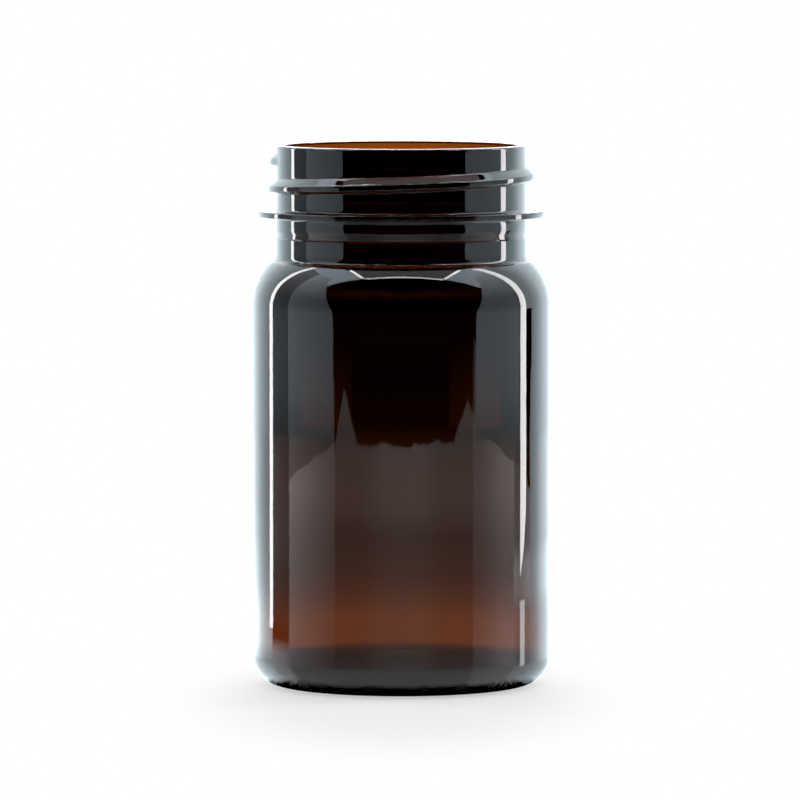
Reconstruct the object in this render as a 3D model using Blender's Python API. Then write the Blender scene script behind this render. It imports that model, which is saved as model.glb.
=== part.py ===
"""Open-mouthed pill bottle in amber PET: one stretch-blow-moulded piece with a 38 mm threaded neck.

Units are metres and +Z is up. The origin is on the standing plane, under the bottle's axis.
The wall is one closed outline turned about the axis, and the screw thread is a helical rib joined to it.
"""

import math

import bmesh
import bpy
from mathutils import Matrix, Vector

MM = 0.001

# Driving dimensions
HEIGHT = 76.0 * MM
BODY_RADIUS = 20.95 * MM
NECK_RADIUS = 17.65 * MM
FINISH_RADIUS = 17.6 * MM
BORE_RADIUS = 16.36 * MM

# Wall thicknesses: the blown body is thin, the base and the moulded neck are thick
BODY_WALL = 0.65 * MM
SHOULDER_WALL = 1.2 * MM
FLOOR_WALL = 1.1 * MM
DOME_WALL = 1.0 * MM

# Base: a rounded heel, a flat standing ring and a domed push-up with a gate mark
HEEL_RADIUS = 4.2 * MM
STANDING_RING_WIDTH = 1.6 * MM
PUSH_UP = 2.2 * MM
PUSH_UP_EDGE_RADIUS = 0.9 * MM
GATE_RADIUS = 1.5 * MM
GATE_DEPTH = 0.35 * MM
INNER_DOME_RADIUS = 13.4 * MM

# Shoulder: an arc outside that stops at the ledge, and an elliptical one inside it
SHOULDER_BASE_Z = 53.5 * MM
SHOULDER_RADIUS = 8.75 * MM
SHOULDER_STOP_DEG = 43
INNER_SHOULDER_STOP_DEG = 46
INNER_SHOULDER_CORNER_Z = 60.2 * MM
INNER_SHOULDER_FILLET = 1.3 * MM

# Narrow ledge where the blown shoulder meets the moulded neck
LEDGE_RADIUS = 18.2 * MM
LEDGE_Z = 59.74 * MM
LEDGE_ROUND = 0.26 * MM
LEDGE_CLIMB = 0.16 * MM
NECK_FILLET = 0.85 * MM

# Neck groove below the transfer ring: steep below its deepest line and easy above it
GROOVE_Z = 63.2 * MM
GROOVE_BELOW = 0.3 * MM
GROOVE_ABOVE = 1.1 * MM
GROOVE_DEPTH = 0.14 * MM

# Transfer ring
RING_RADIUS = 20.2 * MM
RING_TOP_Z = 66.85 * MM
RING_THICKNESS = 0.87 * MM
RING_EDGE_RADIUS = 0.17 * MM
RING_FILLET = 0.45 * MM

# Rim
RIM_EDGE_RADIUS = 0.3 * MM
BORE_EDGE_RADIUS = 0.1 * MM

# Right-hand thread, a little over one and a quarter turns
THREAD_RADIUS = 18.8 * MM
THREAD_ROOT_RADIUS = 17.0 * MM
THREAD_FLOOR_RADIUS = 17.35 * MM
THREAD_PITCH = 3.8 * MM
THREAD_LEFT_Z = 70.2 * MM
THREAD_UPPER_FLANK = 1.05 * MM
THREAD_CREST = 0.8 * MM
THREAD_LOWER_FLANK = 0.2 * MM
THREAD_FIRST_STEP = 10
THREAD_STEPS = 64
THREAD_FADE_STEPS = 4

# Facets
TURN_STEPS = 48
HEEL_STEPS = 6
SHOULDER_STEPS = 7
DOME_STEPS = 5
ROUND_STEPS = 2
GROOVE_STEPS = 4

AMBER = (0.085, 0.022, 0.006, 1.0)
AMBER_ROUGHNESS = 0.05
PET_IOR = 1.575
SMOOTH_ANGLE = math.radians(40)


def clear_scene():
    """Removes whatever the scene holds."""
    for item in list(bpy.data.objects):
        bpy.data.objects.remove(item, do_unlink=True)


def ellipse_arc(center, reach, rise, start_deg, end_deg, steps):
    """Points (radius, height) on an ellipse, both ends included."""
    points = []
    for step in range(steps + 1):
        angle = math.radians(start_deg + (end_deg - start_deg) * step / steps)
        points.append((center[0] + reach * math.cos(angle), center[1] + rise * math.sin(angle)))
    return points


def round_arc(center, radius, start_deg, end_deg, steps):
    """Points (radius, height) on a circle, both ends included."""
    return ellipse_arc(center, radius, radius, start_deg, end_deg, steps)


def fillet(start, corner, end, steps):
    """A curve from start to end that is tangent to the lines from each to the corner."""
    points = []
    for step in range(steps + 1):
        t = step / steps
        weights = ((1 - t) ** 2, 2 * t * (1 - t), t**2)
        points.append(
            tuple(weights[0] * start[i] + weights[1] * corner[i] + weights[2] * end[i] for i in range(2))
        )
    return points


def standing_ring_outer():
    """Radius where the heel meets the standing plane."""
    return BODY_RADIUS - HEEL_RADIUS


def standing_ring_inner():
    """Radius where the standing plane turns up into the push-up."""
    return standing_ring_outer() - STANDING_RING_WIDTH


def dome_angle():
    """Slope of the push-up's dome where it meets its rounded edge."""
    return 2 * math.atan(PUSH_UP / standing_ring_inner())


def dome_radius():
    """Radius of the push-up's sphere, which is tangent to its rounded edge."""
    return standing_ring_inner() / math.sin(dome_angle()) - PUSH_UP_EDGE_RADIUS


def base_outside():
    """The underside, from the gate mark at the axis to the top of the heel."""
    sphere = dome_radius()
    center_z = PUSH_UP - sphere
    gate_slope = math.degrees(math.asin(GATE_RADIUS / sphere))
    edge_slope = math.degrees(dome_angle())
    gate_z = PUSH_UP - GATE_DEPTH
    points = [(0.0, gate_z), (GATE_RADIUS * 0.8, gate_z)]
    points += round_arc((0.0, center_z), sphere, 90 - gate_slope, 90 - edge_slope, DOME_STEPS)
    edge_center = (standing_ring_inner(), PUSH_UP_EDGE_RADIUS)
    points += round_arc(edge_center, PUSH_UP_EDGE_RADIUS, -90 - edge_slope, -90, ROUND_STEPS)[1:]
    heel_center = (standing_ring_outer(), HEEL_RADIUS)
    points += round_arc(heel_center, HEEL_RADIUS, -90, 0, HEEL_STEPS)
    return points


def shoulder_outside():
    """The shoulder's arc, the ledge above it and the fillet that carries it into the neck."""
    center = (BODY_RADIUS - SHOULDER_RADIUS, SHOULDER_BASE_Z)
    curve = round_arc(center, SHOULDER_RADIUS, 0, SHOULDER_STOP_DEG, SHOULDER_STEPS)
    slope = math.radians(SHOULDER_STOP_DEG)
    bend = (curve[-1][0] - LEDGE_ROUND * math.sin(slope), curve[-1][1] + LEDGE_ROUND * math.cos(slope))
    ledge = (LEDGE_RADIUS, LEDGE_Z)
    corner = (NECK_RADIUS, LEDGE_Z + LEDGE_CLIMB)
    neck_start = (NECK_RADIUS, corner[1] + NECK_FILLET)
    curve += fillet(curve[-1], bend, ledge, ROUND_STEPS)[1:]
    return curve + fillet(ledge, corner, neck_start, ROUND_STEPS)[1:]


def neck_outside():
    """The neck from its groove to the underside of the transfer ring."""
    points = []
    for step in range(GROOVE_STEPS + 1):
        offset = 2 * step / GROOVE_STEPS - 1
        dip = GROOVE_DEPTH * (1 + math.cos(math.pi * offset)) / 2
        points.append((NECK_RADIUS - dip, GROOVE_Z + offset * (GROOVE_ABOVE if offset > 0 else GROOVE_BELOW)))
    return points


def ring_outside():
    """The transfer ring, from the fillet below it to the fillet above it."""
    low = RING_TOP_Z - RING_THICKNESS
    high = RING_TOP_Z
    edge_r = RING_RADIUS - RING_EDGE_RADIUS
    points = fillet((NECK_RADIUS, low - RING_FILLET), (NECK_RADIUS, low), (NECK_RADIUS + RING_FILLET, low),
                    ROUND_STEPS)
    points += round_arc((edge_r, low + RING_EDGE_RADIUS), RING_EDGE_RADIUS, -90, 0, ROUND_STEPS)
    points += round_arc((edge_r, high - RING_EDGE_RADIUS), RING_EDGE_RADIUS, 0, 90, ROUND_STEPS)
    points += fillet((FINISH_RADIUS + RING_FILLET, high), (FINISH_RADIUS, high),
                     (FINISH_RADIUS, high + RING_FILLET), ROUND_STEPS)
    return points


def rim():
    """The sealing land with its rounded outer and inner edges."""
    outer = (FINISH_RADIUS - RIM_EDGE_RADIUS, HEIGHT - RIM_EDGE_RADIUS)
    inner = (BORE_RADIUS + BORE_EDGE_RADIUS, HEIGHT - BORE_EDGE_RADIUS)
    points = round_arc(outer, RIM_EDGE_RADIUS, 0, 90, ROUND_STEPS)
    points += round_arc(inner, BORE_EDGE_RADIUS, 90, 180, ROUND_STEPS)
    return points


def inside():
    """The inner wall, from the bottom of the bore to the middle of the floor."""
    center_r = BODY_RADIUS - SHOULDER_RADIUS
    inner_body = BODY_RADIUS - BODY_WALL
    shoulder = ellipse_arc((center_r, SHOULDER_BASE_Z), inner_body - center_r,
                           SHOULDER_RADIUS - SHOULDER_WALL, INNER_SHOULDER_STOP_DEG, 0, SHOULDER_STEPS)
    corner = (BORE_RADIUS, INNER_SHOULDER_CORNER_Z)
    points = fillet((BORE_RADIUS, corner[1] + INNER_SHOULDER_FILLET), corner, shoulder[0], ROUND_STEPS)
    points += shoulder[1:]
    heel_r = standing_ring_outer()
    points += ellipse_arc((heel_r, HEEL_RADIUS), inner_body - heel_r, HEEL_RADIUS - FLOOR_WALL, 0, -90,
                          HEEL_STEPS)
    sphere = dome_radius() + DOME_WALL
    center_z = PUSH_UP - dome_radius()
    edge_deg = math.degrees(math.asin(INNER_DOME_RADIUS / sphere))
    dome = round_arc((0.0, center_z), sphere, 90 - edge_deg, 90, DOME_STEPS)
    dome[-1] = (0.0, dome[-1][1])
    corner_r = dome[0][0] + (dome[0][1] - FLOOR_WALL) / math.tan(math.radians(edge_deg))
    points += fillet((heel_r, FLOOR_WALL), (corner_r, FLOOR_WALL), dome[0], ROUND_STEPS)[1:]
    points += dome[1:]
    return points


def bottle_outline():
    """The whole wall as one outline that starts and ends on the axis."""
    return base_outside() + shoulder_outside() + neck_outside() + ring_outside() + rim() + inside()


def turned_mesh(outline, name):
    """A closed mesh made by turning an outline that starts and ends on the axis."""
    bm = bmesh.new()
    verts = [bm.verts.new((radius, 0.0, height)) for radius, height in outline]
    edges = [bm.edges.new(pair) for pair in zip(verts, verts[1:])]
    bmesh.ops.spin(bm, geom=verts + edges, cent=(0, 0, 0), axis=(0, 0, 1), angle=math.tau,
                   steps=TURN_STEPS, use_merge=True)
    bmesh.ops.remove_doubles(bm, verts=bm.verts, dist=0.001 * MM)
    bmesh.ops.recalc_face_normals(bm, faces=bm.faces)
    mesh = bpy.data.meshes.new(name)
    bm.to_mesh(mesh)
    bm.free()
    return mesh


def thread_section():
    """The rib's cross-section about its mid-height, with its flanks carried on into the wall."""
    half = (THREAD_UPPER_FLANK + THREAD_CREST + THREAD_LOWER_FLANK) / 2
    depth = THREAD_RADIUS - FINISH_RADIUS
    buried = (FINISH_RADIUS - THREAD_ROOT_RADIUS) / depth
    return [
        (THREAD_ROOT_RADIUS, -half - buried * THREAD_LOWER_FLANK),
        (THREAD_RADIUS, -half + THREAD_LOWER_FLANK),
        (THREAD_RADIUS, half - THREAD_UPPER_FLANK),
        (THREAD_ROOT_RADIUS, half + buried * THREAD_UPPER_FLANK),
    ]


def thread_height(angle):
    """Mid-height of the rib at an angle that counts on from turn to turn, with pi on the left."""
    return THREAD_LEFT_Z + THREAD_PITCH * (angle - math.pi) / math.tau


def thread_angle(point):
    """The angle along the rib, counted on from turn to turn, at a point on it."""
    angle = math.atan2(point.y, point.x)
    turns = round((point.z - thread_height(angle)) / THREAD_PITCH)
    return angle + turns * math.tau


def thread_mesh(name):
    """The helical rib. It sinks into the wall at both ends, and its root is buried all the way."""
    step_angle = math.tau / TURN_STEPS
    first = THREAD_FIRST_STEP * step_angle
    sweep = THREAD_STEPS * step_angle
    fade = THREAD_FADE_STEPS * step_angle
    placed = Matrix.Translation((0, 0, thread_height(first))) @ Matrix.Rotation(first, 4, "Z")
    bm = bmesh.new()
    verts = [bm.verts.new(placed @ Vector((radius, 0, height))) for radius, height in thread_section()]
    edges = [bm.edges.new(pair) for pair in zip(verts, verts[1:] + verts[:1])]
    bmesh.ops.spin(bm, geom=verts + edges, cent=(0, 0, 0), axis=(0, 0, 1), angle=sweep, steps=THREAD_STEPS,
                   dvec=(0, 0, THREAD_PITCH / TURN_STEPS), use_merge=False)
    bmesh.ops.holes_fill(bm, edges=[edge for edge in bm.edges if edge.is_boundary], sides=0)
    for vert in bm.verts:
        along = thread_angle(vert.co) - first
        strength = max(0.0, min(1.0, along / fade, (sweep - along) / fade))
        radius = math.hypot(vert.co.x, vert.co.y)
        if radius > THREAD_FLOOR_RADIUS:
            faded = THREAD_FLOOR_RADIUS + (radius - THREAD_FLOOR_RADIUS) * strength
            vert.co.x *= faded / radius
            vert.co.y *= faded / radius
    bmesh.ops.recalc_face_normals(bm, faces=bm.faces)
    mesh = bpy.data.meshes.new(name)
    bm.to_mesh(mesh)
    bm.free()
    return mesh


def amber_pet():
    """Clear amber PET, smooth as it comes off a polished mould."""
    material = bpy.data.materials.new("amber_pet")
    material.use_nodes = True
    shader = material.node_tree.nodes["Principled BSDF"]
    shader.inputs["Base Color"].default_value = AMBER
    shader.inputs["Roughness"].default_value = AMBER_ROUGHNESS
    shader.inputs["Metallic"].default_value = 0.0
    shader.inputs["IOR"].default_value = PET_IOR
    material.diffuse_color = AMBER
    return material


def add_object(name, mesh):
    """Puts a mesh in the scene under a name."""
    item = bpy.data.objects.new(name, mesh)
    bpy.context.scene.collection.objects.link(item)
    return item


def add_thread():
    """The rib as a hidden guide for the bottle's union."""
    thread = add_object("thread_guide", thread_mesh("thread_guide"))
    thread.hide_render = True
    thread.display_type = "WIRE"
    return thread


def build_bottle(thread):
    """The turned wall with the thread joined to it."""
    mesh = turned_mesh(bottle_outline(), "bottle")
    mesh.materials.append(amber_pet())
    mesh.shade_smooth()
    mesh.set_sharp_from_angle(angle=SMOOTH_ANGLE)
    bottle = add_object("bottle", mesh)
    union = bottle.modifiers.new("thread", "BOOLEAN")
    union.operation = "UNION"
    union.solver = "EXACT"
    union.object = thread
    return bottle


clear_scene()
build_bottle(add_thread())
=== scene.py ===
"""Amber PET pill bottle with a screw neck, standing open and empty on a plain pale floor.

The bottle is one blown piece. Its wall is an outline of arcs and straight runs turned about the axis, outside
and inside, and the thread is then pushed out of the turned neck. model.glb gives its height and its diameter.
"""

import logging
import math
from dataclasses import dataclass
from enum import Enum
from typing import Any

import bmesh
import bpy
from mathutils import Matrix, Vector, noise

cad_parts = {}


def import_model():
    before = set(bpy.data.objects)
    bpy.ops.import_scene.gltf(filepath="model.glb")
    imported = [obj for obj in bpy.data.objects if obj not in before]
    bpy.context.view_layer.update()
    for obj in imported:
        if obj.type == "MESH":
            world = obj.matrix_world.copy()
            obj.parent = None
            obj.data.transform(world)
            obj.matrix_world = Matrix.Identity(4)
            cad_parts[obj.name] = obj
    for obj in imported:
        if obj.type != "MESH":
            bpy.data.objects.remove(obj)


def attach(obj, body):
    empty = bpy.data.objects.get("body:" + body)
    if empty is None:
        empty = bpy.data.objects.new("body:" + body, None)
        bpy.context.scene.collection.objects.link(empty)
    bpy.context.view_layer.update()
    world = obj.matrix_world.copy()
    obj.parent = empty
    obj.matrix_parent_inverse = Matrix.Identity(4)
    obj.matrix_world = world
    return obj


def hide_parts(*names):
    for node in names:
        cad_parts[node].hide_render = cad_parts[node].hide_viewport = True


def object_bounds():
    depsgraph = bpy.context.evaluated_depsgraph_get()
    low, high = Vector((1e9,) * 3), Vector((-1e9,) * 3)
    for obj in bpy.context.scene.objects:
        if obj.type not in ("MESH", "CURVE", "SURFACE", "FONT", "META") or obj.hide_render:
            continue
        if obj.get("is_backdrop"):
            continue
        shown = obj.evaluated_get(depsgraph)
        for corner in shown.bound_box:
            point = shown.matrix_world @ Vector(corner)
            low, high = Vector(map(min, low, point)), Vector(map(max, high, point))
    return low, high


MM = 0.001
BODY = "root"
NODE = "bottle"

Outline = list[tuple[float, float]]
Knots = tuple[tuple[float, float], ...]

log = logging.getLogger("pill_bottle")


def linear(hex_colour: str) -> tuple[float, float, float, float]:
    """Turns an sRGB hex colour to the linear values that shaders read.

    Args:
        hex_colour: Six hex digits, such as "C86B1E".

    Returns:
        Linear red, green and blue with an alpha of 1.
    """
    channels = []
    for start in (0, 2, 4):
        value = int(hex_colour[start : start + 2], 16) / 255
        channels.append(value / 12.92 if value <= 0.04045 else ((value + 0.055) / 1.055) ** 2.4)
    return (*channels, 1.0)


def add_node(
    tree: bpy.types.NodeTree,
    kind: str,
    settings: dict[str, Any] | None = None,
    inputs: dict[str, Any] | None = None,
) -> bpy.types.Node:
    """Adds a node with its settings, and gives each named input its value or its link.

    Args:
        tree: The node tree that the node goes in.
        kind: The node's type, such as "ShaderNodeMath".
        settings: Attributes of the node.
        inputs: Input names or numbers, each with a value or with an output socket to link from.

    Returns:
        The new node.
    """
    node = tree.nodes.new(kind)
    for name, value in (settings or {}).items():
        setattr(node, name, value)
    for name, value in (inputs or {}).items():
        if isinstance(value, bpy.types.NodeSocket):
            tree.links.new(value, node.inputs[name])
        else:
            node.inputs[name].default_value = value
    return node


def empty_tree(owner: bpy.types.Material | bpy.types.World) -> bpy.types.NodeTree:
    """Returns a material's or a world's node tree with nothing in it."""
    owner.use_nodes = True
    owner.node_tree.nodes.clear()
    return owner.node_tree


def ellipse_arc(
    centre: tuple[float, float], reach: float, rise: float, start: float, end: float, steps: int
) -> Outline:
    """Points on an ellipse, both ends included.

    Args:
        centre: Radius and height of the ellipse's centre.
        reach: Half its width.
        rise: Half its height.
        start: First angle, in degrees from the outward direction.
        end: Last angle.
        steps: Number of steps between them.

    Returns:
        The points, as radius and height.
    """
    points = []
    for step in range(steps + 1):
        angle = math.radians(start + (end - start) * step / steps)
        points.append((centre[0] + reach * math.cos(angle), centre[1] + rise * math.sin(angle)))
    return points


def fillet(
    start: tuple[float, float], corner: tuple[float, float], end: tuple[float, float], steps: int
) -> Outline:
    """A curve that leaves one point and reaches another along the two lines through a corner.

    Args:
        start: Where the curve starts.
        corner: Where the two lines meet.
        end: Where the curve ends.
        steps: Number of steps between them.

    Returns:
        The points, as radius and height.
    """
    points = []
    for step in range(steps + 1):
        t = step / steps
        weights = ((1 - t) ** 2, 2 * t * (1 - t), t**2)
        knots = (start, corner, end)
        points.append(tuple(sum(weight * knot[i] for weight, knot in zip(weights, knots)) for i in (0, 1)))
    return points


def straight(start: tuple[float, float], end: tuple[float, float], spacing: float) -> Outline:
    """Evenly spaced points between two others, with neither of those two.

    Args:
        start: Where the run starts.
        end: Where it ends.
        spacing: The largest distance between points.

    Returns:
        The points, as radius and height.
    """
    steps = max(1, math.ceil(math.dist(start, end) / spacing))
    return [
        tuple(start[i] + (end[i] - start[i]) * step / steps for i in (0, 1)) for step in range(1, steps)
    ]


def braced(points: Outline) -> Outline:
    """Adds a point just inside each long run that meets a short one, so that shading stays true on both.

    Args:
        points: The outline.

    Returns:
        The outline with its added points.
    """
    lengths = [math.dist(*pair) for pair in zip(points, points[1:])]
    result = [points[0]]
    for i, length in enumerate(lengths):
        before = lengths[i - 1] if i else length
        after = lengths[i + 1] if i + 1 < len(lengths) else length
        for share, add in ((before / length, length > 3 * before), (1 - after / length, length > 3 * after)):
            if add:
                share = max(0.04, min(0.96, share))
                result.append(tuple(points[i][k] + (points[i + 1][k] - points[i][k]) * share for k in (0, 1)))
        result.append(points[i + 1])
    return result


def between(knots: Knots, place: float) -> float:
    """Reads a level off a broken line.

    Args:
        knots: Places in rising order, each with its level.
        place: Where to read.

    Returns:
        The level there, held at the end levels beyond both ends.
    """
    if place <= knots[0][0]:
        return knots[0][1]
    for (start, low), (end, high) in zip(knots, knots[1:]):
        if place <= end:
            return low + (high - low) * (place - start) / (end - start)
    return knots[-1][1]


def eased(value: float) -> float:
    """Runs smoothly from 0 to 1 as the value does, and stays there outside that range."""
    value = max(0.0, min(1.0, value))
    return value * value * (3 - 2 * value)


@dataclass(frozen=True)
class AmberPet:
    """Clear PET dyed dark amber, blown in a polished mould.

    The dye swallows blue first, then green, then red. So one wall glows orange, two in a row turn red-brown,
    and the rest of what the eye gets is the white gloss on the skin. The skin has faint long ripples from the
    blow, and handling has left a trace of haze.
    """

    ior: float = 1.575
    roughness: float = 0.015
    haze: float = 0.03
    red_per_mm: float = 1.67
    green_per_mm: float = 2.86
    blue_per_mm: float = 5.0
    ripple_size_mm: float = 9.0
    ripple_depth_mm: float = 0.012
    haze_size_mm: float = 6.0

    def material(self) -> bpy.types.Material:
        """Makes the finish.

        Returns:
            The material.
        """
        material = bpy.data.materials.new("amber_pet_blown")
        tree = empty_tree(material)
        place = add_node(tree, "ShaderNodeTexCoord").outputs["Object"]
        shader = add_node(
            tree,
            "ShaderNodeBsdfPrincipled",
            inputs={
                "Base Color": (1.0, 1.0, 1.0, 1.0),
                "Metallic": 0.0,
                "IOR": self.ior,
                "Transmission Weight": 1.0,
                "Roughness": self.roughness_map(tree, place),
                "Normal": self.ripple_map(tree, place),
            },
        )
        strongest = self.blue_per_mm
        colour = (1 - self.red_per_mm / strongest, 1 - self.green_per_mm / strongest, 0.0, 1.0)
        dye = add_node(
            tree, "ShaderNodeVolumeAbsorption", inputs={"Color": colour, "Density": strongest / MM}
        )
        add_node(
            tree,
            "ShaderNodeOutputMaterial",
            inputs={"Surface": shader.outputs["BSDF"], "Volume": dye.outputs["Volume"]},
        )
        return material

    def roughness_map(self, tree: bpy.types.NodeTree, place: bpy.types.NodeSocket) -> bpy.types.NodeSocket:
        """Roughness, a little higher in soft patches where the bottle has been handled.

        Args:
            tree: The material's nodes.
            place: Object coordinates.

        Returns:
            The roughness.
        """
        patches = add_node(
            tree,
            "ShaderNodeTexNoise",
            inputs={"Vector": place, "Scale": 1 / (self.haze_size_mm * MM), "Detail": 4.0, "Roughness": 0.6},
        )
        spread = add_node(
            tree,
            "ShaderNodeMapRange",
            {"interpolation_type": "SMOOTHSTEP"},
            {
                "Value": patches.outputs["Fac"],
                "From Min": 0.5,
                "From Max": 0.75,
                "To Min": self.roughness,
                "To Max": self.haze,
            },
        )
        return spread.outputs["Result"]

    def ripple_map(self, tree: bpy.types.NodeTree, place: bpy.types.NodeSocket) -> bpy.types.NodeSocket:
        """Long low ripples along the bottle, which bend the edges of reflections a little.

        Args:
            tree: The material's nodes.
            place: Object coordinates.

        Returns:
            The normal.
        """
        stretched = add_node(
            tree, "ShaderNodeMapping", inputs={"Vector": place, "Scale": (1.0, 1.0, 0.45)}
        )
        ripples = add_node(
            tree,
            "ShaderNodeTexNoise",
            inputs={
                "Vector": stretched.outputs["Vector"],
                "Scale": 1 / (self.ripple_size_mm * MM),
                "Detail": 1.0,
                "Roughness": 0.4,
            },
        )
        bump = add_node(
            tree,
            "ShaderNodeBump",
            inputs={
                "Height": ripples.outputs["Fac"],
                "Distance": self.ripple_depth_mm * MM,
                "Strength": 1.0,
            },
        )
        return bump.outputs["Normal"]


@dataclass
class ScrewThread:
    """The right-hand thread: one rib that climbs the neck for a little over one and a quarter turns.

    Heights are of the rib's middle, in metres. Angles count on from turn to turn, from +X towards +Y.
    """

    root_radius: float = 17.6 * MM
    crest_radius: float = 18.8 * MM
    pitch: float = 3.8 * MM
    left_height: float = 70.2 * MM
    upper_flank: float = 1.05 * MM
    crest: float = 0.8 * MM
    lower_flank: float = 0.2 * MM
    first_deg: float = 78.0
    last_deg: float = 553.0
    fade_deg: float = 24.0
    rounding: float = 0.07 * MM

    def middle(self, angle: float) -> float:
        """Height of the rib's middle at an angle in radians."""
        return self.left_height + self.pitch * (angle - math.pi) / math.tau

    def section(self, offset: float) -> float:
        """How far the rib stands out, from 0 to 1, at a height above its middle.

        Args:
            offset: Height above the rib's middle.

        Returns:
            The share of the rib's full depth, with its corners rounded.
        """
        half = (self.upper_flank + self.crest + self.lower_flank) / 2
        total = 0.0
        shifts = (-1.0, -0.5, 0.0, 0.5, 1.0)
        for shift in shifts:
            place = offset + shift * self.rounding
            rising = (place + half) / self.lower_flank
            falling = (half - place) / self.upper_flank
            total += max(0.0, min(1.0, rising, falling))
        return total / len(shifts)

    def strength(self, angle: float) -> float:
        """How much of the rib is left at an angle, because it fades at both ends."""
        along = math.degrees(angle)
        risen = eased((along - self.first_deg) / self.fade_deg)
        return risen * eased((self.last_deg - along) / self.fade_deg)

    def height(self, angle: float, z: float) -> float:
        """How far the rib stands out of the neck at a place on it.

        Args:
            angle: Angle from +X, in radians.
            z: Height.

        Returns:
            The distance, in metres.
        """
        best = 0.0
        for turn in range(3):
            turned = angle + turn * math.tau
            best = max(best, self.section(z - self.middle(turned)) * self.strength(turned))
        return best * (self.crest_radius - self.root_radius)


@dataclass
class BlownBase:
    """The underside and the heel: a flat standing ring, a domed push-up inside it and a gate mark."""

    body_radius: float
    heel_radius: float = 4.2 * MM
    ring_width: float = 1.6 * MM
    push_up: float = 2.2 * MM
    edge_radius: float = 0.9 * MM
    gate_radius: float = 1.5 * MM
    gate_depth: float = 0.35 * MM
    dome_wall: float = 1.0 * MM
    floor_wall: float = 1.1 * MM
    inner_dome_reach: float = 13.4 * MM

    @property
    def ring_outer(self) -> float:
        """Radius where the heel meets the floor."""
        return self.body_radius - self.heel_radius

    @property
    def ring_inner(self) -> float:
        """Radius where the standing ring turns up into the push-up."""
        return self.ring_outer - self.ring_width

    @property
    def dome_slope(self) -> float:
        """Slope of the dome where it meets its rounded edge, in radians."""
        return 2 * math.atan(self.push_up / self.ring_inner)

    @property
    def dome_radius(self) -> float:
        """Radius of the dome's sphere, which is tangent to its rounded edge."""
        return self.ring_inner / math.sin(self.dome_slope) - self.edge_radius

    def outside(self) -> Outline:
        """The underside, from the axis to the top of the heel."""
        centre_z = self.push_up - self.dome_radius
        gate_deg = math.degrees(math.asin(self.gate_radius / self.dome_radius))
        slope_deg = math.degrees(self.dome_slope)
        gate_z = self.push_up - self.gate_depth
        gate = self.gate_radius
        points = [(0.0, gate_z), (gate * 0.45, gate_z), (gate * 0.8, gate_z + 0.05 * MM)]
        points += ellipse_arc(
            (0.0, centre_z), self.dome_radius, self.dome_radius, 90 - gate_deg, 90 - slope_deg, 14
        )
        edge = (self.ring_inner, self.edge_radius)
        points += ellipse_arc(edge, self.edge_radius, self.edge_radius, -90 - slope_deg, -90, 6)[1:]
        heel = (self.ring_outer, self.heel_radius)
        points += ellipse_arc(heel, self.heel_radius, self.heel_radius, -90, 0, 18)
        return points

    def inside(self, inner_radius: float) -> Outline:
        """The inner floor, from the top of the inner heel to the axis.

        Args:
            inner_radius: Radius of the body's inner wall.

        Returns:
            The points, as radius and height.
        """
        heel = (self.ring_outer, self.heel_radius)
        points = ellipse_arc(
            heel, inner_radius - self.ring_outer, self.heel_radius - self.floor_wall, 0, -90, 18
        )
        sphere = self.dome_radius + self.dome_wall
        centre_z = self.push_up - self.dome_radius
        slope = math.asin(self.inner_dome_reach / sphere)
        dome = ellipse_arc((0.0, centre_z), sphere, sphere, 90 - math.degrees(slope), 90, 20)
        dome[-1] = (0.0, dome[-1][1])
        corner_r = dome[0][0] + (dome[0][1] - self.floor_wall) / math.tan(slope)
        points += fillet(points[-1], (corner_r, self.floor_wall), dome[0], 8)[1:]
        return points + dome[1:]


@dataclass
class BlownShoulder:
    """The shoulder: an arc from the body's straight wall up to a narrow ledge, filleted into the neck."""

    body_radius: float
    neck_radius: float = 17.65 * MM
    bore_radius: float = 16.36 * MM
    base_z: float = 53.5 * MM
    radius: float = 8.75 * MM
    stop_deg: float = 43.0
    wall: float = 1.2 * MM
    inner_stop_deg: float = 46.0
    inner_corner_z: float = 60.2 * MM
    inner_blend: float = 1.3 * MM
    ledge_radius: float = 18.2 * MM
    ledge_z: float = 59.74 * MM
    ledge_round: float = 0.26 * MM
    ledge_climb: float = 0.16 * MM
    blend: float = 0.85 * MM

    @property
    def centre(self) -> tuple[float, float]:
        """Radius and height of the arc's centre."""
        return (self.body_radius - self.radius, self.base_z)

    def outside(self) -> Outline:
        """The outer skin, from the body to the neck."""
        curve = ellipse_arc(self.centre, self.radius, self.radius, 0, self.stop_deg, 24)
        slope = math.radians(self.stop_deg)
        radius, z = curve[-1]
        bend = (radius - self.ledge_round * math.sin(slope), z + self.ledge_round * math.cos(slope))
        ledge = (self.ledge_radius, self.ledge_z)
        corner = (self.neck_radius, self.ledge_z + self.ledge_climb)
        curve += fillet(curve[-1], bend, ledge, 8)[1:]
        return curve + fillet(ledge, corner, (self.neck_radius, corner[1] + self.blend), 8)[1:]

    def inside(self, inner_radius: float) -> Outline:
        """The inner skin, from the bore to the body.

        Args:
            inner_radius: Radius of the body's inner wall.

        Returns:
            The points, as radius and height.
        """
        reach = inner_radius - self.centre[0]
        curve = ellipse_arc(self.centre, reach, self.radius - self.wall, self.inner_stop_deg, 0, 20)
        corner = (self.bore_radius, self.inner_corner_z)
        return fillet((self.bore_radius, corner[1] + self.inner_blend), corner, curve[0], 8) + curve[1:]


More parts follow.
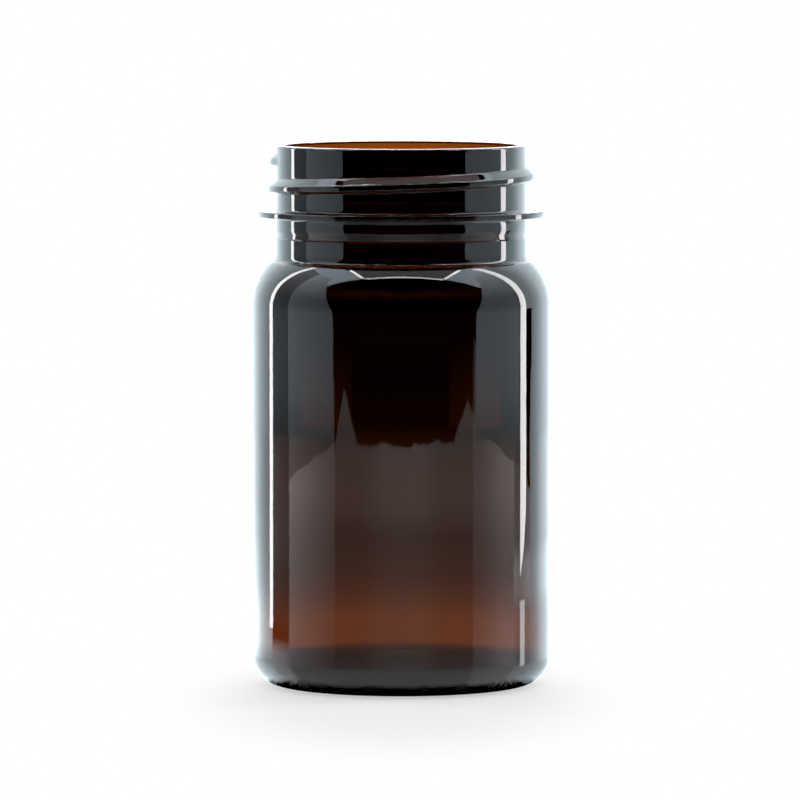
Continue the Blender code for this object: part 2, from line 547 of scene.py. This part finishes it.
@dataclass
class ScrewNeck:
    """The moulded neck: groove, transfer ring, threaded finish and rim."""

    top_z: float
    thread: ScrewThread
    neck_radius: float = 17.65 * MM
    bore_radius: float = 16.36 * MM
    groove_z: float = 63.2 * MM
    groove_above: float = 1.1 * MM
    groove_below: float = 0.285 * MM
    groove_depth: float = 0.14 * MM
    ring_radius: float = 20.2 * MM
    ring_top_z: float = 66.85 * MM
    ring_thickness: float = 0.87 * MM
    ring_edge: float = 0.15 * MM
    ring_fillet: float = 0.45 * MM
    seam_height: float = 0.012 * MM
    seam_half_width: float = 0.05 * MM
    rim_edge: float = 0.3 * MM
    bore_edge: float = 0.1 * MM
    thread_row: float = 0.11 * MM

    def groove(self) -> Outline:
        """The shallow groove between the shoulder and the ring: steep below its deepest line, easy above."""
        points = []
        for reach, steps in ((self.groove_below, 10), (self.groove_above, 8)):
            for step in range(steps):
                share = 1 - step / steps if reach == self.groove_below else -step / steps
                dip = self.groove_depth * (1 + math.cos(math.pi * share)) / 2
                points.append((self.neck_radius - dip, self.groove_z - share * reach))
        return points + [(self.neck_radius, self.groove_z + self.groove_above)]

    def ring(self) -> Outline:
        """The transfer ring with its fillets and the mould's parting line round its edge."""
        low = self.ring_top_z - self.ring_thickness
        high = self.ring_top_z
        edge = self.ring_edge
        edge_r = self.ring_radius - edge - self.seam_height
        middle = (low + high) / 2
        under = (self.neck_radius, low - self.ring_fillet)
        points = fillet(under, (self.neck_radius, low), (self.neck_radius + self.ring_fillet, low), 6)
        points += ellipse_arc((edge_r, low + edge), edge, edge, -90, 0, 4)
        seam = self.seam_half_width
        points += [(edge_r + edge, middle - 2 * seam), (edge_r + edge, middle - seam)]
        points += [(self.ring_radius, middle)]
        points += [(edge_r + edge, middle + seam), (edge_r + edge, middle + 2 * seam)]
        points += ellipse_arc((edge_r, high - edge), edge, edge, 0, 90, 4)
        root = self.thread.root_radius
        points += fillet((root + self.ring_fillet, high), (root, high), (root, high + self.ring_fillet), 6)
        return points

    def rim(self) -> Outline:
        """The sealing land between its rounded outer and inner edges."""
        root = self.thread.root_radius
        outer = (root - self.rim_edge, self.top_z - self.rim_edge)
        inner = (self.bore_radius + self.bore_edge, self.top_z - self.bore_edge)
        points = ellipse_arc(outer, self.rim_edge, self.rim_edge, 0, 90, 6)
        return points + ellipse_arc(inner, self.bore_edge, self.bore_edge, 90, 180, 5)

    def outside(self) -> Outline:
        """The neck from its groove over the rim and into the bore."""
        ring = self.ring()
        rim = self.rim()
        return self.groove() + ring + straight(ring[-1], rim[0], self.thread_row) + rim


@dataclass
class PillBottle:
    """The whole bottle, one closed wall with its true outside and inside."""

    height: float
    body_radius: float
    finish: AmberPet
    body_wall: float = 0.65 * MM
    turn_steps: int = 256
    wall_row: float = 1.7 * MM
    wobble: float = 0.02 * MM
    wobble_size: float = 14 * MM
    wobble_fade: float = 8 * MM
    skin: float = 0.1 * MM
    floor_lumps: tuple[tuple[float, float, float, float], ...] = (
        (0.0, 0.0, 1.25 * MM, 3.4 * MM),
        (-12.0 * MM, -1.0 * MM, 2.3 * MM, 3.0 * MM),
        (9.5 * MM, 0.0, 0.9 * MM, 4.5 * MM),
    )

    def __post_init__(self) -> None:
        """Makes the sub-assemblies from the driving sizes."""
        self.base = BlownBase(self.body_radius)
        self.shoulder = BlownShoulder(self.body_radius)
        self.thread = ScrewThread()
        self.neck = ScrewNeck(self.height, self.thread)

    @property
    def inner_radius(self) -> float:
        """Radius of the body's inner wall."""
        return self.body_radius - self.body_wall

    def outline(self) -> Outline:
        """The whole wall, from the middle of the underside to the middle of the inner floor."""
        runs = [
            self.base.outside(),
            self.shoulder.outside(),
            self.neck.outside(),
            self.shoulder.inside(self.inner_radius),
            self.base.inside(self.inner_radius),
        ]
        points = list(runs[0])
        for run in runs[1:]:
            points += straight(points[-1], run[0], self.wall_row) + run
        return braced(points)

    def turned(self) -> bmesh.types.BMesh:
        """Turns the outline about the axis.

        Returns:
            The closed wall, faces outward, without its thread.
        """
        bm = bmesh.new()
        verts = [bm.verts.new((radius, 0.0, z)) for radius, z in self.outline()]
        edges = [bm.edges.new(pair) for pair in zip(verts, verts[1:])]
        bmesh.ops.spin(
            bm,
            geom=verts + edges,
            cent=(0, 0, 0),
            axis=(0, 0, 1),
            angle=math.tau,
            steps=self.turn_steps,
            use_merge=True,
        )
        bmesh.ops.remove_doubles(bm, verts=bm.verts, dist=0.0005 * MM)
        bmesh.ops.recalc_face_normals(bm, faces=bm.faces)
        return bm

    def raise_thread(self, bm: bmesh.types.BMesh) -> None:
        """Pushes the thread out of the turned neck.

        Args:
            bm: The turned wall.
        """
        low = self.neck.ring_top_z + self.neck.ring_fillet
        high = self.height - self.neck.rim_edge
        for vert in bm.verts:
            radius = math.hypot(vert.co.x, vert.co.y)
            if low < vert.co.z < high and radius > self.thread.root_radius - self.skin / 2:
                angle = math.atan2(vert.co.y, vert.co.x) % math.tau
                grown = (radius + self.thread.height(angle, vert.co.z)) / radius
                vert.co.x *= grown
                vert.co.y *= grown

    def loosen_walls(self, bm: bmesh.types.BMesh) -> None:
        """Gives the blown walls the slight unevenness that they set with, more so inside.

        Args:
            bm: The turned wall.
        """
        top = self.shoulder.base_z
        for vert in bm.verts:
            radius = math.hypot(vert.co.x, vert.co.y)
            if vert.co.z > top:
                continue
            if radius > self.inner_radius - self.skin and vert.co.z > self.base.heel_radius:
                from_heel = eased((vert.co.z - self.base.heel_radius) / self.wobble_fade)
                from_shoulder = eased((top - vert.co.z) / self.wobble_fade)
                sample = noise.noise(Vector((vert.co.x, vert.co.y, vert.co.z * 0.5)) / self.wobble_size)
                shrunk = 1 - self.wobble * from_heel * from_shoulder * (0.5 + 0.5 * sample) / radius
                vert.co.x *= shrunk
                vert.co.y *= shrunk
            elif self.is_inner_floor(radius, vert.co.z):
                for x, y, rise, spread in self.floor_lumps:
                    away = math.hypot(vert.co.x - x, vert.co.y - y) / spread
                    vert.co.z += rise * math.exp(-(away**2))

    def is_inner_floor(self, radius: float, z: float) -> bool:
        """Whether a place is on the inner floor and not on the underside."""
        sphere = self.base.dome_radius
        dome_z = self.base.push_up - sphere + math.sqrt(max(0.0, sphere**2 - radius**2))
        return radius < self.base.ring_outer and z > max(0.0, dome_z) + self.base.dome_wall * 0.6

    def build(self) -> bpy.types.Object:
        """Models the bottle.

        Returns:
            The finished piece, dressed and in the scene.
        """
        bm = self.turned()
        self.raise_thread(bm)
        self.loosen_walls(bm)
        mesh = bpy.data.meshes.new("amber_bottle")
        bm.to_mesh(mesh)
        bm.free()
        mesh.shade_smooth()
        bottle = bpy.data.objects.new("amber_bottle", mesh)
        bpy.context.scene.collection.objects.link(bottle)
        self.dress(bottle)
        return bottle

    def dress(self, bottle: bpy.types.Object) -> None:
        """Gives the bottle its finish and its place in the frame.

        Args:
            bottle: The piece.
        """
        bottle.data.materials.append(self.finish.material())
        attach(bottle, BODY)
        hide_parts(NODE)


class Side(Enum):
    """Which side of the bottle a part of the studio stands on, as seen from the camera."""

    LEFT = -1
    RIGHT = 1


@dataclass(frozen=True)
class Rays:
    """Which rays meet a part of the studio."""

    glossy: bool = True
    transmission: bool = True
    diffuse: bool = True

    def apply(self, item: bpy.types.Object) -> None:
        """Sets an object's visibility, which the camera and shadows are always left out of.

        Args:
            item: A part of the studio.
        """
        item.visible_camera = False
        item.visible_shadow = False
        item.visible_glossy = self.glossy
        item.visible_transmission = self.transmission
        item.visible_diffuse = self.diffuse
        item.visible_volume_scatter = False


def glowing(name: str) -> bpy.types.Material:
    """A studio surface that gives the light that its mesh's glow attribute says.

    Args:
        name: The material's name.

    Returns:
        The material.
    """
    material = bpy.data.materials.new(name)
    tree = empty_tree(material)
    glow = add_node(tree, "ShaderNodeAttribute", {"attribute_name": "glow"}).outputs["Color"]
    light = add_node(tree, "ShaderNodeEmission", inputs={"Color": glow, "Strength": 1.0})
    add_node(tree, "ShaderNodeOutputMaterial", inputs={"Surface": light.outputs["Emission"]})
    return material


@dataclass
class CurvedCard:
    """A standing card that curves round the bottle at one distance, with its light by azimuth and by height.

    Azimuth counts from the camera's side of the bottle towards its right. The first edge may lean, and the
    foot may run to a point at the first edge.
    """

    name: str
    start_deg: float
    end_deg: float
    distance: float
    bottom: float
    top: float
    start_radiance: float
    end_radiance: float
    heights: Knots = ((0.0, 1.0),)
    lean_deg: float = 0.0
    point_height: float = 0.0
    tint: tuple[float, float, float] = (1.0, 1.0, 1.0)
    rays: Rays = Rays()
    rows: int = 24
    steps: int = 16

    def glow(self, across: float, z: float) -> float:
        """Radiance at a place on the card.

        Args:
            across: 0 at the card's first edge and 1 at its last.
            z: Height.

        Returns:
            The radiance.
        """
        level = self.start_radiance + (self.end_radiance - self.start_radiance) * across
        return level * between(self.heights, z)

    def build(self) -> bpy.types.Object:
        """Stands the card in the studio.

        Returns:
            The card, marked as stage.
        """
        bm = bmesh.new()
        layer = bm.verts.layers.float_color.new("glow")
        rows = []
        for row in range(self.rows + 1):
            climb = (row / self.rows) ** 2
            z = self.bottom + (self.top - self.bottom) * climb
            first = self.start_deg + self.lean_deg * climb
            narrowed = min(1.0, (z - self.bottom) / self.point_height) if self.point_height else 1.0
            rows.append([])
            for step in range(self.steps + 1):
                across = step / self.steps
                azimuth = math.radians(first + (self.end_deg - first) * across * narrowed)
                ahead = Vector((math.sin(azimuth), -math.cos(azimuth), 0.0))
                vert = bm.verts.new(ahead * self.distance + Vector((0, 0, z)))
                level = self.glow(across, z)
                vert[layer] = (*(level * share for share in self.tint), 1.0)
                rows[-1].append(vert)
        for low, high in zip(rows, rows[1:]):
            for i in range(self.steps):
                bm.faces.new((low[i], low[i + 1], high[i + 1], high[i]))
        mesh = bpy.data.meshes.new(self.name)
        bm.to_mesh(mesh)
        bm.free()
        mesh.materials.append(glowing(self.name))
        card = bpy.data.objects.new(self.name, mesh)
        bpy.context.scene.collection.objects.link(card)
        self.rays.apply(card)
        card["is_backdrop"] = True
        return card


@dataclass
class CeilingLight:
    """A flat light that faces straight down."""

    name: str
    x: float
    y: float
    z: float
    width: float
    depth: float
    radiance: float
    tint: tuple[float, float, float] = (1.0, 1.0, 1.0)
    lights_floor: bool = True

    def build(self) -> bpy.types.Object:
        """Hangs the light.

        Returns:
            The light.
        """
        data = bpy.data.lights.new(self.name, "AREA")
        data.shape = "RECTANGLE"
        data.size = self.width
        data.size_y = self.depth
        data.color = self.tint
        data.energy = self.radiance * math.pi * self.width * self.depth
        light = bpy.data.objects.new(self.name, data)
        light.location = (self.x, self.y, self.z)
        light.visible_camera = False
        light.visible_transmission = False
        light.visible_diffuse = self.lights_floor
        bpy.context.scene.collection.objects.link(light)
        return light


@dataclass(frozen=True)
class TableZone:
    """A range of directions over the table top, with its light by direction and by distance.

    Directions are azimuths from the camera's side of the bottle towards its right, in degrees. Distances are
    from the bottle's axis, in metres.
    """

    start_deg: float
    end_deg: float
    levels: Knots
    fade: Knots
    near: float = 0.85
    near_end: float = 0.024
    far_start: float = 0.054
    beyond: float = 0.0
    tint: tuple[float, float, float] = (1.0, 1.0, 1.0)

    def glow(self, direction: float, distance: float) -> float:
        """Radiance inside the table's edge: one level by the bottle, which gives way to the zone's own.

        Args:
            direction: Azimuth, in degrees.
            distance: Distance from the bottle's axis.

        Returns:
            The radiance.
        """
        level = between(self.levels, direction) * between(self.fade, distance)
        share = eased((distance - self.near_end) / (self.far_start - self.near_end))
        return self.near + (level - self.near) * share


# Painted light: the table top's light, falloff, streak and contact shadow are painted into a glowing sheet
# that only reflections and the view through the bottle meet.
@dataclass
class LitTable:
    """The table top as the bottle's skin mirrors it, or as it shows through the bottle.

    Its edge is a distance by azimuth. A painted streak of light may lie on it, given by its first and last
    direction, its far end and its radiance. Round the bottle's foot its glow is painted dark as a contact
    shadow, up to a distance by azimuth.
    """

    name: str
    zones: tuple[TableZone, ...]
    edge: Knots
    rays: Rays
    streak: tuple[float, float, float, float] = (0.0, 0.0, 0.0, 0.0)
    streak_rise: tuple[float, float] = (0.02, 0.045)
    ragged: float = 0.0
    ragged_deg: float = 5.0
    mirror_radius: float = 0.0
    contact_shadow: Knots = ((60, 0.0198), (110, 0.0172), (180, 0.017))
    contact_shadow_blur: float = 1.4 * MM
    lift: float = -0.02 * MM
    rings: int = 160
    outer_rings: tuple[float, float] = (1.003, 1.4)
    sectors: int = 400

    def edge_at(self, azimuth: float) -> float:
        """Distance of the table's edge at an azimuth in degrees, ragged by a little."""
        wave = noise.noise(Vector((azimuth / self.ragged_deg, 0.3, 0.7)))
        return between(self.edge, azimuth) * (1 + self.ragged * wave)

    def direction(self, azimuth: float, distance: float) -> float:
        """Which way a place on the table lies from the side of the bottle that mirrors it to the camera.

        Args:
            azimuth: The place's azimuth from the bottle's axis.
            distance: Its distance from the axis.

        Returns:
            The direction's azimuth, in degrees.
        """
        seen = azimuth
        for _ in range(4):
            shift = self.mirror_radius * math.sin(math.radians(seen) / 2)
            aside = shift / max(distance, self.mirror_radius, MM)
            seen = azimuth + math.degrees(math.asin(max(-1.0, min(1.0, aside))))
        return max(-180.0, min(180.0, seen))

    def light(self, azimuth: float, distance: float) -> tuple[float, float, float, float]:
        """Light that a place on the table gives off.

        Args:
            azimuth: Degrees from the camera's side towards the right.
            distance: Distance from the bottle's axis.

        Returns:
            Linear red, green and blue radiance, and an alpha of 1.
        """
        turn = self.direction(azimuth, distance)
        zone = next(zone for zone in self.zones if zone.start_deg <= turn <= zone.end_deg)
        if distance > self.edge_at(azimuth) * 1.001:
            level = zone.beyond * between(zone.levels, turn)
        else:
            level = zone.glow(turn, distance)
        start, end, far, radiance = self.streak
        if start < turn < end and distance < far:
            rise_start, rise_end = self.streak_rise
            level = max(level, radiance * eased((distance - rise_start) / (rise_end - rise_start)))
        # Painted contact shadow: the glow is darkened round the bottle's foot.
        level *= eased((distance - between(self.contact_shadow, abs(azimuth))) / self.contact_shadow_blur)
        return (*(level * share for share in zone.tint), 1.0)

    def build(self) -> bpy.types.Object:
        """Lays the table top out.

        Returns:
            The table top, marked as stage.
        """
        bm = bmesh.new()
        layer = bm.verts.layers.float_color.new("glow")
        shares = [(ring / self.rings) ** 2 for ring in range(1, self.rings + 1)]
        shares += self.outer_rings
        verts = [bm.verts.new((0.0, -share, self.lift)) for share in shares]
        edges = [bm.edges.new(pair) for pair in zip(verts, verts[1:])]
        bmesh.ops.spin(
            bm,
            geom=verts + edges,
            cent=(0, 0, 0),
            axis=(0, 0, 1),
            angle=math.tau,
            steps=self.sectors,
            use_merge=True,
        )
        for vert in bm.verts:
            azimuth = math.degrees(math.atan2(vert.co.x, -vert.co.y))
            edge = self.edge_at(azimuth)
            vert[layer] = self.light(azimuth, math.hypot(vert.co.x, vert.co.y) * edge)
            vert.co.x *= edge
            vert.co.y *= edge
        mesh = bpy.data.meshes.new(self.name)
        bm.to_mesh(mesh)
        bm.free()
        mesh.materials.append(glowing(self.name))
        table = bpy.data.objects.new(self.name, mesh)
        bpy.context.scene.collection.objects.link(table)
        self.rays.apply(table)
        table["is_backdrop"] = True
        return table


@dataclass
class PaleFloor:
    """The plain pale floor that the camera sees: white, with the bottle's soft shadow in front of it."""

    size: float = 8.0
    albedo: str = "EEEBE7"
    shadow_middle: float = 0.022
    shadow_size: tuple[float, float] = (0.032, 0.075)

    def build(self) -> bpy.types.Object:
        """Makes the floor.

        Returns:
            The floor, marked as stage.
        """
        bm = bmesh.new()
        bmesh.ops.create_grid(bm, x_segments=1, y_segments=1, size=self.size / 2)
        mesh = bpy.data.meshes.new("floor")
        bm.to_mesh(mesh)
        bm.free()
        mesh.materials.append(self.material())
        floor = bpy.data.objects.new("floor", mesh)
        bpy.context.scene.collection.objects.link(floor)
        floor.visible_glossy = False
        floor.visible_transmission = False
        floor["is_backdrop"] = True
        return floor

    def material(self) -> bpy.types.Material:
        """The floor's finish: matt white card, lit through from below outside the bottle's shadow.

        Returns:
            The material.
        """
        material = bpy.data.materials.new("floor_card")
        tree = empty_tree(material)
        place = add_node(tree, "ShaderNodeTexCoord").outputs["Object"]
        width, depth = self.shadow_size
        spread = add_node(
            tree,
            "ShaderNodeMapping",
            inputs={
                "Vector": place,
                "Location": (0.0, self.shadow_middle / depth, 0.0),
                "Scale": (1 / width, 1 / depth, 0.0),
            },
        ).outputs["Vector"]
        away = add_node(tree, "ShaderNodeVectorMath", {"operation": "LENGTH"}, {0: spread}).outputs["Value"]
        card = add_node(tree, "ShaderNodeBsdfDiffuse", inputs={"Color": linear(self.albedo)})
        white = add_node(tree, "ShaderNodeEmission", inputs={"Color": (1.0, 1.0, 1.0, 1.0), "Strength": 1.0})
        blend = self.ramp(tree, away, (0.4, 1.1), (0.5, 1.0))
        seen = add_node(
            tree,
            "ShaderNodeMixShader",
            inputs={0: blend, 1: card.outputs["BSDF"], 2: white.outputs["Emission"]},
        )
        add_node(tree, "ShaderNodeOutputMaterial", inputs={"Surface": seen.outputs["Shader"]})
        return material

    def ramp(
        self,
        tree: bpy.types.NodeTree,
        value: bpy.types.NodeSocket,
        span: tuple[float, float],
        levels: tuple[float, float],
    ) -> bpy.types.NodeSocket:
        """Runs smoothly from one level to another as a value crosses a span.

        Args:
            tree: The material's nodes.
            value: The value.
            span: Where the run starts and ends.
            levels: The levels at those two.

        Returns:
            The level.
        """
        inputs = {
            "Value": value,
            "From Min": span[0],
            "From Max": span[1],
            "To Min": levels[0],
            "To Max": levels[1],
        }
        node = add_node(tree, "ShaderNodeMapRange", {"interpolation_type": "SMOOTHSTEP"}, inputs)
        return node.outputs["Result"]


@dataclass
class Studio:
    """The floor, the lights and the surroundings."""

    surround: float = 0.0
    wall_distance: float = 0.5
    height: float = 0.62
    cool: tuple[float, float, float] = (0.83, 0.98, 1.04)
    clear: tuple[float, float, float] = (0.86, 1.0, 1.1)
    faint_cool: tuple[float, float, float] = (0.96, 1.0, 1.04)
    strip_radiance: float = 9.0
    bar_radiance: float = 14.0
    front_bar: tuple[float, float] = (0.0275, -0.28)
    front_bar_length: float = 0.545
    front_bar_width: float = 0.018
    side_bar_middle: float = -0.12
    side_bar_length: float = 0.27
    side_bar_width: float = 0.024
    ceiling_x: float = 0.024
    ceiling_width: float = 0.56
    ceiling_depth: float = 0.74
    ceiling_radiance: float = 0.7
    outer_width: float = 0.5
    outer_radiance: float = 2.8

    def wall(
        self, name: str, start: float, end: float, levels: tuple[float, float], **settings: Any
    ) -> CurvedCard:
        """A full-height card at the studio's wall, which only the bottle's skin mirrors.

        Args:
            name: The card's name.
            start: Azimuth of its first edge, in degrees.
            end: Azimuth of its last edge.
            levels: Radiance at those two.
            settings: Whatever else the card is given.

        Returns:
            The card.
        """
        mirrored = Rays(transmission=False)
        return CurvedCard(
            name, start, end, self.wall_distance, 0.0, self.height, *levels, rays=mirrored, **settings
        )

    def cards(self) -> list[CurvedCard]:
        """The standing cards: side walls, the strip of light behind each, and the bright walls behind."""
        mirrored = Rays(transmission=False)
        through = Rays(glossy=False, diffuse=False)
        # The side cards' light is painted dimmer at the very foot, as shade where each card meets the floor.
        side = {
            "heights": (
                (0, 0.6), (0.012, 1.12), (0.03, 1.05), (0.05, 0.86), (0.17, 0.75), (0.38, 1.6), (0.62, 2.4),
            ),
            "tint": self.clear,
        }
        low = {"heights": ((0, 1), (0.02, 0)), "rays": through}
        strip = self.strip_radiance
        return [
            self.wall("left_card", -52, -96, (0.8, 1.15), lean_deg=-25, **side),
            self.wall("right_card", 58, 103, (0.95, 0.9), lean_deg=25, **side),
            self.wall("left_corner", -96, -118, (0.46, 0.46), **side),
            CurvedCard("left_strip", -108.1, -112.9, 0.104, 0.0, 0.7, strip, strip, rays=mirrored),
            CurvedCard(
                "right_strip", 100.6, 108.0, 0.186, 0.0, 0.7, strip, strip, point_height=0.008, rays=mirrored
            ),
            CurvedCard(
                "right_corner", 111, 119.5, self.wall_distance, 0.035, self.height, 1.4, 1.4,
                tint=self.cool, rays=mirrored,
            ),
            self.wall("left_wall", -119, -150, (1.35, 2.25), tint=self.cool),
            self.wall("left_back", -150, -172, (2.25, 1.9), tint=self.cool),
            self.wall("right_wall", 119.5, 139, (1.35, 2.2), tint=self.cool),
            self.wall("right_back", 139, 172, (2.2, 1.9), tint=self.cool),
            self.wall("back_wall", 172, 188, (3.0, 3.0)),
            CurvedCard("mouth_glow", 110, 250, 0.04, 0.0740, 0.0756, 2.1, 2.1, rays=through),
            CurvedCard("left_through", -178.35, -176, self.wall_distance, 0.0, 0.02, 0.1, 0.3, **low),
            CurvedCard("right_through", 178.35, 176, self.wall_distance, 0.0, 0.02, 0.1, 0.3, **low),
        ]

    def tables(self) -> list[LitTable]:
        """The table top, as the bottle's skin mirrors it and as it shows through the bottle."""
        middle_fade = ((0.05, 0.9), (0.1, 0.62), (0.28, 0.56), (0.34, 0.95), (0.4, 1.0))
        corner_fade = ((0.05, 1.1), (0.135, 1.1), (0.16, 1.7), (0.21, 1.9), (0.25, 0.9), (0.36, 0.8))
        zones = (
            TableZone(
                -180,
                -119,
                levels=((-160, 2.3), (-147, 2.2), (-137, 1.7), (-130, 1.45), (-119, 1.3)),
                fade=((0.04, 1.0), (0.08, 2.0), (0.115, 2.0), (0.17, 1.4), (0.26, 1.1), (0.34, 1.0)),
                near=2.3,
                beyond=0.9,
                tint=self.cool,
            ),
            TableZone(
                -119,
                -97,
                levels=((-119, 0.5), (-97, 0.38)),
                fade=(
                    (0.07, 3.6), (0.083, 1.5), (0.092, 0.15), (0.104, 0.15), (0.135, 0.5), (0.2, 0.72),
                    (0.25, 1.0),
                ),
                near=1.6,
                beyond=0.9,
            ),
            TableZone(
                -97,
                -52.5,
                levels=((-96, 2.0), (-57, 0.83), (-52.5, 0.8)),
                fade=((0.05, 0.55), (0.135, 0.6), (0.2, 0.67), (0.277, 0.78), (0.363, 1.0)),
                beyond=0.45,
            ),
            TableZone(
                -52.5,
                57.5,
                levels=((-52, 0.45), (-30, 0.45), (-12, 0.68), (14, 0.72), (32, 0.5), (57, 0.5)),
                fade=middle_fade,
            ),
            TableZone(
                57.5,
                98,
                levels=((58, 0.75), (65, 0.8), (85, 1.4), (97, 1.4)),
                fade=((0.05, 0.9), (0.1, 0.95), (0.135, 0.8), (0.2, 0.67), (0.277, 0.78), (0.363, 1.0)),
                near=1.2,
                beyond=0.45,
            ),
            TableZone(
                98,
                115,
                levels=((98, 1.0), (104, 0.75), (113, 0.9), (115, 0.95)),
                fade=corner_fade,
                near=1.5,
                beyond=0.6,
                tint=self.faint_cool,
            ),
            TableZone(
                115,
                119,
                levels=((115, 0.95), (119, 1.0)),
                fade=corner_fade,
                near=1.5,
                tint=self.faint_cool,
            ),
            TableZone(
                119,
                180,
                levels=((119, 1.25), (129, 1.6), (139, 2.4), (152, 2.3), (165, 2.2)),
                fade=((0.05, 1.0), (0.1, 0.95), (0.135, 1.0), (0.16, 1.2), (0.21, 1.25), (0.25, 1.0)),
                near=1.6,
                beyond=0.9,
                tint=self.cool,
            ),
        )
        through = TableZone(
            -180,
            180,
            levels=((-180, 1.0), (-172, 1.15), (-160, 1.7), (160, 1.7), (172, 1.15), (180, 1.0)),
            fade=(
                (0.025, 0.0), (0.045, 0.6), (0.063, 0.95), (0.094, 0.95), (0.126, 0.5), (0.161, 0.28),
                (0.236, 0.18), (0.322, 0.22), (0.42, 0.16), (0.5, 0.03), (0.66, 0.01), (0.81, 0.02),
                (1.0, 0.0),
            ),
            near=0.0,
        )
        return [
            LitTable(
                "table_mirrored",
                zones,
                edge=(
                    (-119, 0.5), (-97, 0.38), (-50.6, 0.485), (-43.8, 0.66), (-33.2, 0.49), (0, 0.495),
                    (40.5, 0.5), (52.3, 0.625), (61, 0.525), (101.6, 0.42), (112, 0.42), (112.8, 0.37),
                    (117.5, 0.355), (118.2, 0.5),
                ),
                rays=Rays(transmission=False, diffuse=False),
                streak=(105.5, 111.5, 0.15, 4.6),
                ragged=0.03,
                mirror_radius=21 * MM,
            ),
            LitTable("table_through", (through,), edge=((0, 1.0),), rays=Rays(glossy=False, diffuse=False)),
        ]

    def ceiling(self) -> list[CeilingLight]:
        """The ceiling, its frame of light bars and a brighter ceiling outside each side bar."""
        x, front = self.front_bar
        middle = front + self.ceiling_depth / 2 + 0.01
        above = self.height + 0.01
        lights = [
            CeilingLight(
                "front_bar",
                x,
                front,
                self.height,
                self.front_bar_length,
                self.front_bar_width,
                self.bar_radiance,
            ),
            CeilingLight(
                "ceiling",
                self.ceiling_x,
                middle,
                above,
                self.ceiling_width,
                self.ceiling_depth,
                self.ceiling_radiance,
            ),
        ]
        for side, bar_x in ((Side.LEFT, 0.262), (Side.RIGHT, 0.306)):
            name = side.name.lower()
            lights.append(
                CeilingLight(
                    f"{name}_bar",
                    side.value * bar_x,
                    self.side_bar_middle,
                    self.height,
                    self.side_bar_width,
                    self.side_bar_length,
                    self.bar_radiance,
                )
            )
            lights.append(
                CeilingLight(
                    f"{name}_ceiling",
                    side.value * (bar_x + self.outer_width / 2 + 0.018),
                    middle,
                    self.height,
                    self.outer_width,
                    self.ceiling_depth,
                    self.outer_radiance,
                    self.clear,
                    lights_floor=False,
                )
            )
        return lights

    def build(self) -> None:
        """Lights the bottle."""
        PaleFloor().build()
        for part in [*self.cards(), *self.tables(), *self.ceiling()]:
            part.build()
            log.info("studio: %s", part.name)
        self.world()

    def world(self) -> None:
        """Plain white behind everything that the camera sees, and dark for what the bottle reflects."""
        world = bpy.data.worlds.new("studio")
        tree = empty_tree(world)
        plain = (1.0, 1.0, 1.0, 1.0)
        white = add_node(tree, "ShaderNodeBackground", inputs={"Color": plain, "Strength": 1.0})
        room = add_node(tree, "ShaderNodeBackground", inputs={"Color": plain, "Strength": self.surround})
        camera = add_node(tree, "ShaderNodeLightPath").outputs["Is Camera Ray"]
        both = add_node(
            tree,
            "ShaderNodeMixShader",
            inputs={0: camera, 1: room.outputs["Background"], 2: white.outputs["Background"]},
        )
        add_node(tree, "ShaderNodeOutputWorld", inputs={"Surface": both.outputs["Shader"]})
        bpy.context.scene.world = world


@dataclass
class ProductCamera:
    """A long lens a little above the table, level with the middle of the bottle."""

    distance: float = 1.05
    elevation_deg: float = 3.94
    field_width: float = 112.64 * MM
    aim: Vector = Vector((-0.15 * MM, 0.0, 40.1 * MM))
    sensor: float = 36.0

    def build(self) -> bpy.types.Object:
        """Places the camera and makes it the scene's.

        Returns:
            The camera.
        """
        data = bpy.data.cameras.new("product_camera")
        data.sensor_width = self.sensor
        data.lens = self.sensor * self.distance / self.field_width
        data.clip_start = 0.05
        data.clip_end = 20.0
        camera = bpy.data.objects.new("product_camera", data)
        lift = math.radians(self.elevation_deg)
        away = Vector((0.0, -math.cos(lift), math.sin(lift)))
        camera.location = self.aim + away * self.distance
        camera.rotation_mode = "QUATERNION"
        camera.rotation_quaternion = away.to_track_quat("Z", "Y")
        bpy.context.scene.collection.objects.link(camera)
        bpy.context.scene.camera = camera
        return camera


def main() -> None:
    """Builds the bottle and its studio, and reports each piece."""
    logging.basicConfig(level=logging.INFO, format="%(name)s: %(message)s")
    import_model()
    cad_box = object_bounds()
    low, high = cad_box
    bottle = PillBottle(high.z - low.z, (high.x - low.x) / 2, AmberPet())
    piece = bottle.build()
    log.info("%s: %d faces", piece.name, len(piece.data.polygons))
    Studio().build()
    ProductCamera().build()
    bpy.context.scene.view_settings.view_transform = "Standard"


if __name__ == "__main__":
    main()
